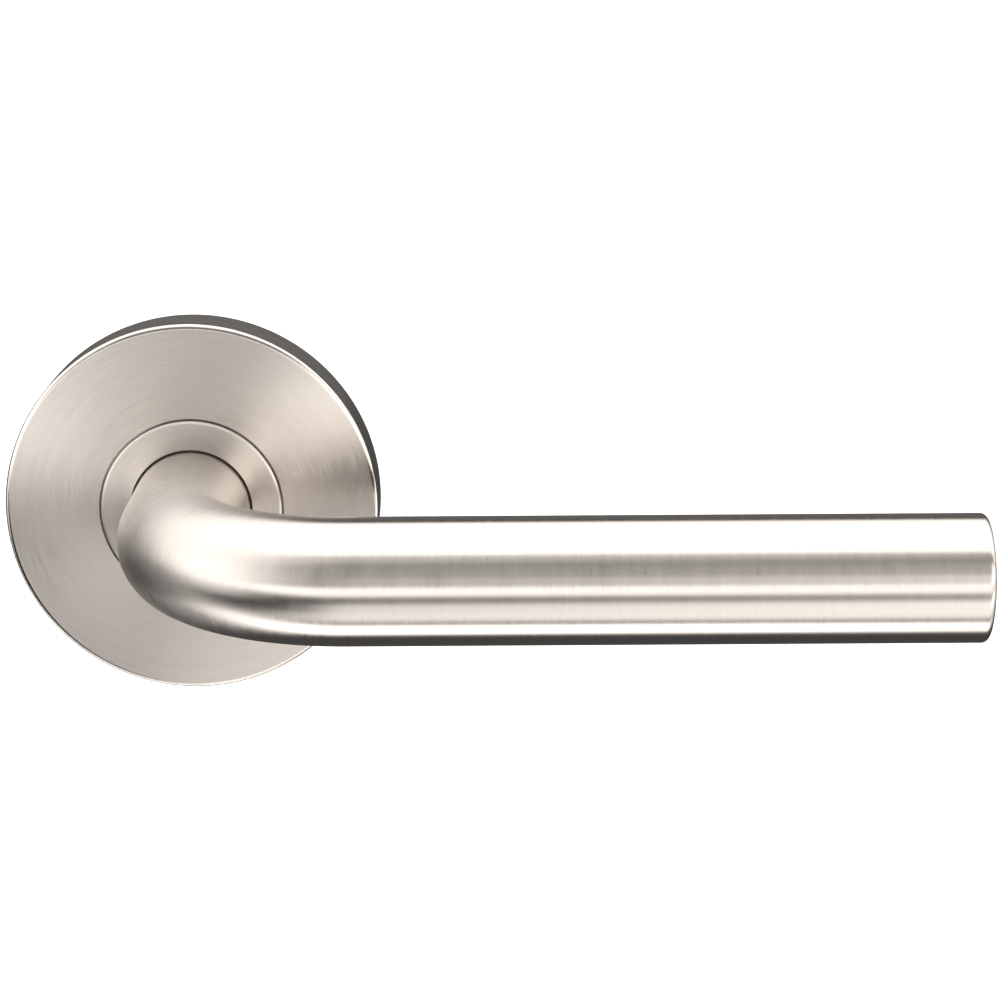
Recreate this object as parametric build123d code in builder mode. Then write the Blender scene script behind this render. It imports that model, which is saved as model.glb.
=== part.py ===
"""Door lever handle on a round rose, with its sprung base plate, posts and spindle.

The origin is the middle of the rose where it meets the door. The front of the handle faces -Y and the
spindle runs along +Y into the door. The lever points along +X when it is level, and +Z is up.
Heights in the names below are distances in front of the door, so they grow towards -Y, and a
negative height is inside the door. Lengths are in millimetres and angles in degrees.
"""

import os
from math import atan2, cos, degrees, radians, sin

from build123d import *

# Lever
bar_radius = 10.0
tube_wall = 1.8
lever_reach = 127.0
bar_height = 57.5
bend_radius = 29.0
tube_start_height = 6.8
end_edge_radius = 1.0
cap_head_thickness = 1.5
cap_spigot_length = 4.0

# Rose cover
rose_radius = 31.75
rose_height = 10.5
cover_thickness = 1.2
rose_edge_radius = 0.8
cover_lip_radius = 0.15

# Collar ring that clamps the cover
collar_lip = 2.3
collar_stand_out = 0.5
collar_flange_thickness = 1.7
collar_chamfer = 0.35
collar_step = 1.0
collar_sleeve_wall = 1.6
collar_sleeve_length = 3.6
collar_end_gap = 0.5
collar_washer_thickness = 0.3

# Base plate
flange_thickness = 3.0
drum_radius = 24.5
drum_wall = 1.7
web_thickness = 2.2
hub_wall = 3.45
rib_count = 6
rib_width = 1.6
rib_start_angle = 30.0
hub_edge_radius = 0.2

# O-ring on the flange's rim
o_ring_radius = 0.58
o_ring_groove_depth = 0.85
o_ring_gap = 0.02

# Bush and neck insert
journal_radius = 8.5
bush_wall = 1.9
bush_flange_width = 2.7
bush_flange_thickness = 1.2
driving_flat = 6.8
socket_end_wall = 2.0
insert_length_in_tube = 20.7
insert_tail = 1.5

# Spindle and grub screw
spindle_width = 8.0
spindle_chamfer = 0.4
spindle_length = 95.0
spindle_end_gap = 1.0
grub_radius = 3.0
grub_height = 18.0
grub_sink = 0.4
grub_hex_across_flats = 3.0
grub_hex_depth = 2.5

# Return spring
wire_radius = 0.9
coil_radius = 11.7
coil_gap = 0.15
leg_length = 9.0
leg_hold = 7.0
full_turns = 2
anchor_pin_angle = 270.0
anchor_pin_radius = 1.25
anchor_pin_length = 4.5

# Driver and its stops
lever_travel = 55.0
driver_thickness = 2.0
driver_hub_radius = 12.6
ear_width = 7.0
ear_reach = 20.5
tab_width = 2.5
tab_length = 4.0
stop_width = 6.0
stop_reach = 15.0

# Spring cover and its screws
spring_cover_thickness = 1.2
spring_cover_radius = 24.0
cover_screw_circle = 20.2
cover_screw_count = 4
cover_screw_start_angle = 45.0
cover_screw_radius = 1.5
cover_screw_length = 5.0
cover_screw_head_radius = 2.7
cover_screw_head_height = 1.5
cover_screw_boss_radius = 3.0

# Fixing posts
post_spacing = 38.0
post_shank_radius = 4.5
post_stud_radius = 4.0
post_stud_end = 30.0
post_tap_radius = 1.65
post_tap_depth = 20.0
post_head_radius = 5.0
post_head_thickness = 1.6
post_boss_radius = 6.0
post_chamfer = 0.5

# Washers and circlip
wave_washer_thickness = 0.3
thrust_washer_thickness = 0.8
thrust_washer_radius = 12.5
circlip_thickness = 1.0
circlip_width = 2.2
circlip_groove_depth = 0.7
circlip_gap = 3.0
circlip_eye_radius = 0.85
circlip_eye_wall = 1.1
circlip_eye_inset = 0.3

# Clearances
running_clearance = 0.05
thread_clearance = 0.05
seat_gap = 0.2
neck_gap = 0.4
cover_gap = 0.35
plate_gap = 0.4
screw_clearance = 0.2
axial_play = 0.1
stop_gap = 0.1
cutter_overrun = 1.0

# Worked out from the sizes above
collar_bore = bar_radius + neck_gap
collar_sleeve_bore = collar_bore + collar_step
collar_thread_radius = collar_sleeve_bore + collar_sleeve_wall
collar_radius = collar_thread_radius + collar_lip
bore_radius = bar_radius - tube_wall
cover_inner_radius = rose_radius - cover_thickness
flange_radius = cover_inner_radius - cover_gap
cover_face_back = rose_height - cover_thickness
collar_front = rose_height + collar_stand_out
collar_back = collar_front - collar_flange_thickness
recess_floor_front = collar_back - collar_washer_thickness
recess_floor_back = recess_floor_front - cover_thickness
recess_radius = collar_radius + cover_gap
recess_hole_radius = collar_thread_radius + screw_clearance
web_front = collar_back - collar_sleeve_length - collar_end_gap
web_back = web_front - web_thickness
hub_radius = collar_thread_radius + hub_wall
bush_bore_radius = journal_radius + running_clearance
bush_sleeve_radius = bush_bore_radius + bush_wall
bush_flange_radius = bush_bore_radius + bush_flange_width
coil_front = web_back - plate_gap - wire_radius
ear_rest_angle = 90 + lever_travel / 2
leg_side = coil_radius + wire_radius + running_clearance
moving_leg_angle = ear_rest_angle + degrees(atan2(leg_hold, leg_side + tab_width / 2))
fixed_leg_angle = anchor_pin_angle - degrees(atan2(leg_hold, leg_side + anchor_pin_radius))
coil_pitch = 2 * wire_radius + coil_gap
coil_turns = full_turns + (fixed_leg_angle - moving_leg_angle) / 360
coil_length = coil_pitch * coil_turns
coil_back = coil_front - coil_length
driver_front = coil_back - wire_radius - plate_gap
driver_back = driver_front - driver_thickness
drum_back = driver_back - plate_gap
spring_cover_back = drum_back - spring_cover_thickness
thrust_washer_front = spring_cover_back - axial_play
thrust_washer_back = thrust_washer_front - thrust_washer_thickness
circlip_front = thrust_washer_back - running_clearance
circlip_back = circlip_front - circlip_thickness
groove_front = circlip_front + running_clearance
groove_back = circlip_back - running_clearance
insert_back = groove_back - insert_tail
insert_front = tube_start_height + insert_length_in_tube
circlip_inner = journal_radius - circlip_groove_depth + running_clearance
circlip_eye_offset = circlip_gap / 2 + circlip_eye_radius + circlip_eye_wall - circlip_eye_inset
circlip_eye_places = [(side * circlip_eye_offset, -circlip_inner - circlip_width / 2) for side in (-1, 1)]
socket_front = insert_front - socket_end_wall
spindle_front = socket_front - spindle_end_gap


def front_plane(height, angle=0.0):
    """A plane parallel to the door at a height in front of it, facing the front, with its x axis turned."""
    return Plane(
        origin=(0, -height, 0),
        x_dir=(cos(radians(angle)), 0, sin(radians(angle))),
        z_dir=(0, -1, 0),
    )


# Half sections of turned pieces are drawn as (radius, height) and turned about the spindle's axis.
half_section = Plane(origin=(0, 0, 0), x_dir=(1, 0, 0), z_dir=(0, 0, -1))

os.makedirs("parts", exist_ok=True)

# ---------------------------------------------------------------- rose cover
# A thin cap whose middle is stepped in, so that the collar ring sits in the step.
with BuildPart() as rose_cover:
    with BuildSketch(half_section):
        with BuildLine():
            Polyline(
                (rose_radius, 0),
                (rose_radius, rose_height),
                (recess_radius, rose_height),
                (recess_radius, recess_floor_front),
                (recess_hole_radius, recess_floor_front),
                (recess_hole_radius, recess_floor_back),
                (recess_radius + cover_thickness, recess_floor_back),
                (recess_radius + cover_thickness, cover_face_back),
                (cover_inner_radius, cover_face_back),
                (cover_inner_radius, 0),
                close=True,
            )
        make_face()
    revolve(axis=Axis.Y)
    front_edges = rose_cover.edges().filter_by(GeomType.CIRCLE).group_by(Axis.Y)[0].sort_by(SortBy.RADIUS)
    fillet(front_edges[-1], rose_edge_radius)
    fillet(front_edges[0], cover_lip_radius)
rose_cover.part.label = "rose_cover"
export_step(rose_cover.part, "parts/rose_cover.step")

# --------------------------------------------------------------- collar ring
with BuildPart() as collar_ring:
    with BuildSketch(half_section):
        with BuildLine():
            Polyline(
                (collar_bore, collar_front),
                (collar_radius, collar_front),
                (collar_radius, collar_back),
                (collar_thread_radius, collar_back),
                (collar_thread_radius, collar_back - collar_sleeve_length),
                (collar_sleeve_bore, collar_back - collar_sleeve_length),
                (collar_sleeve_bore, collar_back),
                (collar_bore, collar_back),
                close=True,
            )
        make_face()
    revolve(axis=Axis.Y)
    front_edges = collar_ring.edges().filter_by(GeomType.CIRCLE).group_by(Axis.Y)[0].sort_by(SortBy.RADIUS)
    chamfer(front_edges[-1], collar_chamfer)
collar_ring.part.label = "collar_ring"
export_step(collar_ring.part, "parts/collar_ring.step")

with BuildPart() as collar_washer:
    with BuildSketch(front_plane(recess_floor_front)):
        Circle(collar_radius - axial_play)
        Circle(recess_hole_radius, mode=Mode.SUBTRACT)
    extrude(amount=collar_washer_thickness)
collar_washer.part.label = "collar_washer"
export_step(collar_washer.part, "parts/collar_washer.step")

# ---------------------------------------------------------------- base plate
# The drum behind the web hangs in the door's cross bore and holds the spring and the driver.
drum_inner_radius = drum_radius - drum_wall
post_places = [(-post_spacing / 2, 0), (post_spacing / 2, 0)]
cover_screw_places = PolarLocations(
    cover_screw_circle, cover_screw_count, start_angle=cover_screw_start_angle
).local_locations
stop_face = ear_width / 2 + stop_gap
stop_middle = ((stop_reach + drum_radius) / 2, stop_face + stop_width / 2)
stop_size = (drum_radius - stop_reach, stop_width)
rib_start = recess_radius + cover_thickness + seat_gap
anchor_plane = front_plane(web_front - wire_radius, fixed_leg_angle)
anchor_place = (leg_side + anchor_pin_radius, leg_hold)
with BuildPart() as base_plate:
    with BuildSketch(front_plane(0)):
        Circle(flange_radius)
    extrude(amount=flange_thickness)
    with BuildSketch(front_plane(drum_back)):
        Circle(drum_radius)
    extrude(amount=web_front - drum_back)
    with BuildSketch(front_plane(web_front)):
        Circle(hub_radius)
    extrude(amount=recess_floor_back - web_front)
    with BuildSketch(front_plane(flange_thickness)):
        with PolarLocations((rib_start + flange_radius) / 2, rib_count, start_angle=rib_start_angle):
            Rectangle(flange_radius - rib_start, rib_width)
    extrude(amount=cover_face_back - seat_gap - flange_thickness)
    fillet(base_plate.faces().filter_by(Axis.Y).sort_by(Axis.Y)[0].edges(), hub_edge_radius)
    # The chamber keeps the two stops, the post bosses and the lower screw bosses standing.
    with BuildSketch(front_plane(drum_back)):
        Circle(drum_inner_radius)
        with Locations(post_places):
            Circle(post_boss_radius, mode=Mode.SUBTRACT)
        with Locations(cover_screw_places[2:]):
            Circle(cover_screw_boss_radius, mode=Mode.SUBTRACT)
        with Locations(Location((0, 0, 0), (0, 0, ear_rest_angle))):
            with Locations(stop_middle):
                Rectangle(*stop_size, mode=Mode.SUBTRACT)
        with Locations(Location((0, 0, 0), (0, 0, ear_rest_angle - lever_travel))):
            with Locations((stop_middle[0], -stop_middle[1])):
                Rectangle(*stop_size, mode=Mode.SUBTRACT)
    extrude(amount=web_back - drum_back, mode=Mode.SUBTRACT)
    # Holes through the web: the bush's, with the collar's thread in front of it, and the posts'.
    with BuildSketch(front_plane(web_back)):
        Circle(bush_sleeve_radius)
    extrude(amount=web_thickness, mode=Mode.SUBTRACT)
    with BuildSketch(front_plane(web_front)):
        Circle(collar_thread_radius + thread_clearance)
    extrude(amount=recess_floor_back - web_front, mode=Mode.SUBTRACT)
    with BuildSketch(front_plane(drum_back)):
        with Locations(post_places):
            Circle(post_shank_radius + thread_clearance)
    extrude(amount=web_front - drum_back, mode=Mode.SUBTRACT)
    with BuildSketch(front_plane(web_front - post_head_thickness)):
        with Locations(post_places):
            Circle(post_head_radius + screw_clearance / 2)
    extrude(amount=recess_floor_back - web_front + post_head_thickness, mode=Mode.SUBTRACT)
    with BuildSketch(anchor_plane):
        with Locations(anchor_place):
            Circle(anchor_pin_radius)
    extrude(amount=-web_thickness, mode=Mode.SUBTRACT)
    with BuildSketch(front_plane(drum_back)):
        with Locations(cover_screw_places):
            Circle(cover_screw_radius + thread_clearance)
    extrude(amount=cover_screw_length, mode=Mode.SUBTRACT)
    # The groove in the flange's rim for the O-ring.
    with BuildSketch(half_section):
        with Locations((flange_radius, flange_thickness / 2)):
            Rectangle(2 * o_ring_groove_depth, 2 * o_ring_radius + running_clearance)
    revolve(axis=Axis.Y, mode=Mode.SUBTRACT)
base_plate.part.label = "base_plate"
export_step(base_plate.part, "parts/base_plate.step")

with BuildPart() as cover_o_ring:
    with BuildSketch(half_section):
        with Locations((cover_inner_radius - o_ring_radius - o_ring_gap, flange_thickness / 2)):
            Circle(o_ring_radius)
    revolve(axis=Axis.Y)
cover_o_ring.part.label = "cover_o_ring"
export_step(cover_o_ring.part, "parts/cover_o_ring.step")

# --------------------------------------------------------------- bearing bush
with BuildPart() as bearing_bush:
    with BuildSketch(half_section):
        with BuildLine():
            Polyline(
                (bush_bore_radius, web_front + bush_flange_thickness),
                (bush_flange_radius, web_front + bush_flange_thickness),
                (bush_flange_radius, web_front),
                (bush_sleeve_radius, web_front),
                (bush_sleeve_radius, driver_front + plate_gap),
                (bush_bore_radius, driver_front + plate_gap),
                close=True,
            )
        make_face()
    revolve(axis=Axis.Y)
bearing_bush.part.label = "bearing_bush"
export_step(bearing_bush.part, "parts/bearing_bush.step")

# --------------------------------------------------------------- return spring
# The wire is a coil between two straight legs that leave it at a tangent. The helix starts at the
# bottom of its circle, so it is turned until it starts where the moving leg does.
coil = Helix(coil_pitch, coil_length, coil_radius, (0, -coil_back, 0), (0, -1, 0), mode=Mode.PRIVATE)
coil = coil.rotate(Axis.Y, 270 - moving_leg_angle)
moving_leg_tip = coil @ 0 - coil % 0 * leg_length
fixed_leg_tip = coil @ 1 + coil % 1 * leg_length
with BuildPart() as return_spring:
    with BuildLine():
        Line(moving_leg_tip, coil @ 0)
        add(coil)
        Line(coil @ 1, fixed_leg_tip)
    with BuildSketch(Plane(origin=moving_leg_tip, z_dir=coil % 0)):
        Circle(wire_radius)
    sweep()
return_spring.part.label = "return_spring"
export_step(return_spring.part, "parts/return_spring.step")

with BuildPart() as spring_anchor_pin:
    with BuildSketch(anchor_plane):
        with Locations(anchor_place):
            Circle(anchor_pin_radius)
    extrude(amount=-anchor_pin_length)
spring_anchor_pin.part.label = "spring_anchor_pin"
export_step(spring_anchor_pin.part, "parts/spring_anchor_pin.step")

# --------------------------------------------------- spring cover and its screws
with BuildPart() as spring_cover:
    with BuildSketch(front_plane(spring_cover_back)):
        Circle(spring_cover_radius)
        Circle(journal_radius + neck_gap, mode=Mode.SUBTRACT)
        with Locations(post_places):
            Circle(post_shank_radius + screw_clearance, mode=Mode.SUBTRACT)
        with Locations(cover_screw_places):
            Circle(cover_screw_radius + screw_clearance, mode=Mode.SUBTRACT)
    extrude(amount=spring_cover_thickness)
spring_cover.part.label = "spring_cover"
export_step(spring_cover.part, "parts/spring_cover.step")

with BuildPart() as spring_cover_screws:
    with BuildSketch(front_plane(spring_cover_back - cover_screw_head_height)):
        with Locations(cover_screw_places):
            Circle(cover_screw_head_radius)
    extrude(amount=cover_screw_head_height)
    with BuildSketch(front_plane(spring_cover_back)):
        with Locations(cover_screw_places):
            Circle(cover_screw_radius)
    extrude(amount=spring_cover_thickness + cover_screw_length - screw_clearance)
spring_cover_screws.part.label = "spring_cover_screws"
export_step(spring_cover_screws.part, "parts/spring_cover_screws.step")

# ---------------------------------------------------------------- fixing posts
# Each post's head sits in the web, in a scallop of the hub, and its stud is tapped for a bolt.
stud_start = spring_cover_back - screw_clearance
for side, post_place in zip(("left", "right"), post_places):
    with BuildPart() as fixing_post:
        with BuildSketch(front_plane(web_front - post_head_thickness)):
            with Locations(post_place):
                Circle(post_head_radius)
        extrude(amount=post_head_thickness)
        with BuildSketch(front_plane(stud_start)):
            with Locations(post_place):
                Circle(post_shank_radius)
        extrude(amount=web_front - post_head_thickness - stud_start)
        with BuildSketch(front_plane(-post_stud_end)):
            with Locations(post_place):
                Circle(post_stud_radius)
        extrude(amount=post_stud_end + stud_start)
        chamfer(fixing_post.edges().filter_by(GeomType.CIRCLE).sort_by(Axis.Y)[-1], post_chamfer)
        with BuildSketch(front_plane(-post_stud_end)):
            with Locations(post_place):
                Circle(post_tap_radius)
        extrude(amount=post_tap_depth, mode=Mode.SUBTRACT)
    fixing_post.part.label = f"fixing_post_{side}"
    export_step(fixing_post.part, f"parts/fixing_post_{side}.step")

# ------------------------------------------------------------------ lever tube
# The grub screw comes in from below, square to the spindle.
grub_plane = Plane(origin=(0, -grub_height, 0), x_dir=(1, 0, 0), z_dir=(0, 0, -1))
tube_end_reach = lever_reach - cap_head_thickness
with BuildPart() as lever_tube:
    with BuildLine() as tube_axis:
        FilletPolyline(
            (0, -tube_start_height),
            (0, -bar_height),
            (tube_end_reach, -bar_height),
            radius=bend_radius,
        )
    with BuildSketch(front_plane(tube_start_height)):
        Circle(bar_radius)
        Circle(bore_radius, mode=Mode.SUBTRACT)
    sweep()
    with BuildSketch(grub_plane):
        Circle(grub_radius + thread_clearance)
    extrude(amount=bar_radius + cutter_overrun, mode=Mode.SUBTRACT)
lever_tube.part.label = "lever_tube"
export_step(lever_tube.part, "parts/lever_tube.step")

with BuildPart() as end_cap:
    with BuildSketch(Plane.YZ.offset(tube_end_reach - cap_spigot_length)):
        with Locations((-bar_height, 0)):
            Circle(bore_radius)
    extrude(amount=cap_spigot_length)
    with BuildSketch(Plane.YZ.offset(tube_end_reach)):
        with Locations((-bar_height, 0)):
            Circle(bar_radius)
    extrude(amount=cap_head_thickness)
    fillet(end_cap.edges().filter_by(GeomType.CIRCLE).sort_by(Axis.X)[-1], end_edge_radius)
end_cap.part.label = "end_cap"
export_step(end_cap.part, "parts/end_cap.step")

# ----------------------------------------------------------------- neck insert
# The journal runs in the bush. Behind it two flats carry the driver, and the circlip's groove is cut.
with BuildPart() as neck_insert:
    with BuildSketch(front_plane(insert_back)):
        Circle(journal_radius)
        Rectangle(2 * journal_radius, 2 * driving_flat, mode=Mode.INTERSECT)
    extrude(amount=driver_front + running_clearance - insert_back)
    with BuildSketch(front_plane(driver_front + running_clearance)):
        Circle(journal_radius)
    extrude(amount=tube_start_height - driver_front - running_clearance)
    with BuildSketch(front_plane(tube_start_height)):
        Circle(bore_radius)
    extrude(amount=insert_length_in_tube)
    with BuildSketch(front_plane(groove_back)):
        Circle(journal_radius + cutter_overrun)
        Circle(journal_radius - circlip_groove_depth, mode=Mode.SUBTRACT)
    extrude(amount=groove_front - groove_back, mode=Mode.SUBTRACT)
    with BuildSketch(front_plane(insert_back)):
        Rectangle(spindle_width + 2 * running_clearance, spindle_width + 2 * running_clearance)
    extrude(amount=socket_front - insert_back, mode=Mode.SUBTRACT)
    with BuildSketch(grub_plane):
        Circle(grub_radius + thread_clearance)
    extrude(amount=bar_radius, mode=Mode.SUBTRACT)
neck_insert.part.label = "neck_insert"
export_step(neck_insert.part, "parts/neck_insert.step")

with BuildPart() as grub_screw:
    with BuildSketch(grub_plane.offset(spindle_width / 2)):
        Circle(grub_radius)
    extrude(amount=bar_radius - grub_sink - spindle_width / 2)
    with BuildSketch(grub_plane.offset(bar_radius - grub_sink)):
        RegularPolygon(grub_hex_across_flats / 2, 6, major_radius=False)
    extrude(amount=-grub_hex_depth, mode=Mode.SUBTRACT)
grub_screw.part.label = "grub_screw"
export_step(grub_screw.part, "parts/grub_screw.step")

with BuildPart() as spindle:
    with BuildSketch(front_plane(spindle_front - spindle_length)):
        Rectangle(spindle_width, spindle_width)
    extrude(amount=spindle_length)
    chamfer(spindle.edges().filter_by(Axis.Y), spindle_chamfer)
spindle.part.label = "spindle"
export_step(spindle.part, "parts/spindle.step")

# ---------------------------------------------------------------------- driver
tab_place = (leg_side + tab_width / 2, -leg_hold)
with BuildPart() as driver:
    with BuildSketch(front_plane(driver_back)):
        Circle(driver_hub_radius)
        with Locations(Location((0, 0, 0), (0, 0, ear_rest_angle))):
            with Locations((ear_reach / 2, 0)):
                Rectangle(ear_reach, ear_width)
    extrude(amount=driver_thickness)
    with BuildSketch(front_plane(driver_front, moving_leg_angle)):
        with Locations(tab_place):
            Rectangle(tab_width, tab_length)
    extrude(amount=coil_back + wire_radius - driver_front)
    with BuildSketch(front_plane(driver_back)):
        Circle(journal_radius + running_clearance)
        Rectangle(2 * bar_radius, 2 * (driving_flat + running_clearance), mode=Mode.INTERSECT)
    extrude(amount=driver_thickness, mode=Mode.SUBTRACT)
driver.part.label = "driver"
export_step(driver.part, "parts/driver.step")

# --------------------------------------------------------- washers and circlip
with BuildPart() as wave_washer:
    with BuildSketch(front_plane(tube_start_height - running_clearance - wave_washer_thickness)):
        Circle(bar_radius - seat_gap)
        Circle(journal_radius + running_clearance, mode=Mode.SUBTRACT)
    extrude(amount=wave_washer_thickness)
wave_washer.part.label = "wave_washer"
export_step(wave_washer.part, "parts/wave_washer.step")

with BuildPart() as thrust_washer:
    with BuildSketch(front_plane(thrust_washer_back)):
        Circle(thrust_washer_radius)
        Circle(journal_radius + running_clearance, mode=Mode.SUBTRACT)
    extrude(amount=thrust_washer_thickness)
thrust_washer.part.label = "thrust_washer"
export_step(thrust_washer.part, "parts/thrust_washer.step")

with BuildPart() as circlip:
    with BuildSketch(front_plane(circlip_back)):
        Circle(circlip_inner + circlip_width)
        for eye_place in circlip_eye_places:
            with Locations(eye_place):
                Circle(circlip_eye_radius + circlip_eye_wall)
        Circle(circlip_inner, mode=Mode.SUBTRACT)
        with Locations((0, -circlip_inner)):
            Rectangle(circlip_gap, 2 * circlip_width + 2 * circlip_eye_wall, mode=Mode.SUBTRACT)
        for eye_place in circlip_eye_places:
            with Locations(eye_place):
                Circle(circlip_eye_radius, mode=Mode.SUBTRACT)
    extrude(amount=circlip_thickness)
circlip.part.label = "circlip"
export_step(circlip.part, "parts/circlip.step")
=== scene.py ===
"""Finishes and visible pieces of a door lever handle on a round rose, laid out as a Blender add-on.

Lengths are in metres. The origin is the middle of the rose where it meets the door, the front faces -Y
and the spindle runs along +Y. A height is a distance in front of the door, so it grows towards -Y.
"""

from math import atan2, cos, pi, radians, sin, tau

import bmesh
import bpy
from mathutils import Matrix, Vector


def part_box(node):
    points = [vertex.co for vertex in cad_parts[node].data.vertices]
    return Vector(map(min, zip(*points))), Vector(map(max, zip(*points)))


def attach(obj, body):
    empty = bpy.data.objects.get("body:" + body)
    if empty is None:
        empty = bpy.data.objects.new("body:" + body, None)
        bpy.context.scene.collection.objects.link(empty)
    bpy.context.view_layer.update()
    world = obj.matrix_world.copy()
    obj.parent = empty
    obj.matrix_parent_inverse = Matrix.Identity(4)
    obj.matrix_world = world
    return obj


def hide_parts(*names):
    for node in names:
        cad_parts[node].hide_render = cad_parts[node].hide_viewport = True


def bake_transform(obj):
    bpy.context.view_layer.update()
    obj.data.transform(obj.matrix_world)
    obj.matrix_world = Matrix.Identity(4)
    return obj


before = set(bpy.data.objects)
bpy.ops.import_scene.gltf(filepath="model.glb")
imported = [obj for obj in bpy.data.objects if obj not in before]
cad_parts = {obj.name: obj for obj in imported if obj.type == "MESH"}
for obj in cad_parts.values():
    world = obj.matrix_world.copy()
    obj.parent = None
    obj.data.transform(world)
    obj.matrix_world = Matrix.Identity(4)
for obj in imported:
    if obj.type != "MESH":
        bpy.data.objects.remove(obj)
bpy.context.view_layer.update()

bl_info = {
    "name": "Door lever handle",
    "version": (1, 0, 0),
    "blender": (4, 5, 0),
    "location": "3D View > Sidebar > Handle",
    "description": "Models and finishes the pieces of a sprung door lever handle",
    "category": "Object",
}

MM = 0.001
JOINED = 1e-7  # vertices nearer than this are one
FACETED = radians(35)  # edges sharper than this stay sharp


# ------------------------------------------------------------------ sizes read from the frame
def node_box(name):
    """Lowest and highest corner of a frame node, as vectors."""
    low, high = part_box(name)
    return Vector(low), Vector(high)


cover_low, cover_high = node_box("rose_cover")
collar_low, collar_high = node_box("collar_ring")
tube_low, tube_high = node_box("lever_tube")
cap_low, cap_high = node_box("end_cap")
grub_low, grub_high = node_box("grub_screw")
spring_low, spring_high = node_box("return_spring")
screws_low, screws_high = node_box("spring_cover_screws")
spindle_low, spindle_high = node_box("spindle")

rose_radius = cover_high.x
rose_height = -cover_low.y
collar_radius = collar_high.x
collar_front = -collar_low.y
bar_radius = tube_high.z
bar_height = -tube_low.y - bar_radius
tube_start = -tube_high.y
tube_reach = tube_high.x
lever_reach = cap_high.x
cap_spigot = tube_reach - cap_low.x
grub_radius = (grub_high.x - grub_low.x) / 2
grub_height = -(grub_high.y + grub_low.y) / 2
spring_cover_back = -node_box("spring_cover")[1].y


# ------------------------------------------------------------------ properties
class HandleSizes(bpy.types.PropertyGroup):
    """Sizes that the frame's boxes don't give."""

    bend_radius: bpy.props.FloatProperty(
        name="Bend radius", description="Radius of the bend along the tube's axis",
        default=29 * MM, min=0.021, unit="LENGTH")
    tube_wall: bpy.props.FloatProperty(
        name="Tube wall", description="Thickness of the tube's wall", default=1.8 * MM, unit="LENGTH")
    end_rounding: bpy.props.FloatProperty(
        name="End rounding", description="Radius round the free end", default=1.0 * MM, unit="LENGTH")
    cover_sheet: bpy.props.FloatProperty(
        name="Cover sheet", description="Thickness of the cover's sheet", default=1.2 * MM, unit="LENGTH")
    cover_rounding: bpy.props.FloatProperty(
        name="Cover rounding", description="Radius round the cover's front",
        default=0.8 * MM, unit="LENGTH")
    cover_gap: bpy.props.FloatProperty(
        name="Cover gap", description="Gap between the cover and the collar ring",
        default=0.35 * MM, unit="LENGTH")
    collar_chamfer: bpy.props.FloatProperty(
        name="Collar chamfer", description="Chamfer round the collar ring",
        default=0.35 * MM, unit="LENGTH")
    cover_crown: bpy.props.FloatProperty(
        name="Cover crown", description="How far the cover's face falls from the collar to its edge",
        default=0.35 * MM, unit="LENGTH")
    collar_thread: bpy.props.FloatProperty(
        name="Collar thread", description="Radius of the collar ring's sleeve",
        default=13 * MM, unit="LENGTH")
    collar_step: bpy.props.FloatProperty(
        name="Collar step", description="How far the sleeve's bore is wider than the ring's",
        default=1 * MM, unit="LENGTH")
    neck_gap: bpy.props.FloatProperty(
        name="Neck gap", description="Gap between the neck and the collar ring",
        default=0.4 * MM, unit="LENGTH")
    hex_width: bpy.props.FloatProperty(
        name="Hex width", description="Width of the grub screw's socket across its flats",
        default=3 * MM, unit="LENGTH")
    wire_radius: bpy.props.FloatProperty(
        name="Wire", description="Radius of the return spring's wire", default=0.9 * MM, unit="LENGTH")
    spring_coil: bpy.props.FloatProperty(
        name="Spring coil", description="Radius of the coil, to the middle of its wire",
        default=11.7 * MM, unit="LENGTH")
    spring_leg: bpy.props.FloatProperty(
        name="Spring leg", description="Length of the return spring's legs", default=9 * MM, unit="LENGTH")
    spring_start: bpy.props.FloatProperty(
        name="Spring start", description="Angle at which the coil leaves the moving leg",
        default=radians(144.23), subtype="ANGLE")
    spring_turn: bpy.props.FloatProperty(
        name="Spring turn", description="How far the coil turns between its legs",
        default=radians(819.04), subtype="ANGLE", max=radians(3600))
    post_shank: bpy.props.FloatProperty(
        name="Post shank", description="Radius of a post's shank", default=4.5 * MM, unit="LENGTH")
    post_stud: bpy.props.FloatProperty(
        name="Post stud", description="Radius of a post's stud", default=4 * MM, unit="LENGTH")
    post_tap: bpy.props.FloatProperty(
        name="Post tap", description="Core radius of a post's thread", default=1.65 * MM, unit="LENGTH")
    screw_radius: bpy.props.FloatProperty(
        name="Screw", description="Radius of a cover screw's thread", default=1.5 * MM, unit="LENGTH")
    screw_head: bpy.props.FloatProperty(
        name="Screw head", description="Radius of a cover screw's head", default=2.7 * MM, unit="LENGTH")


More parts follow.
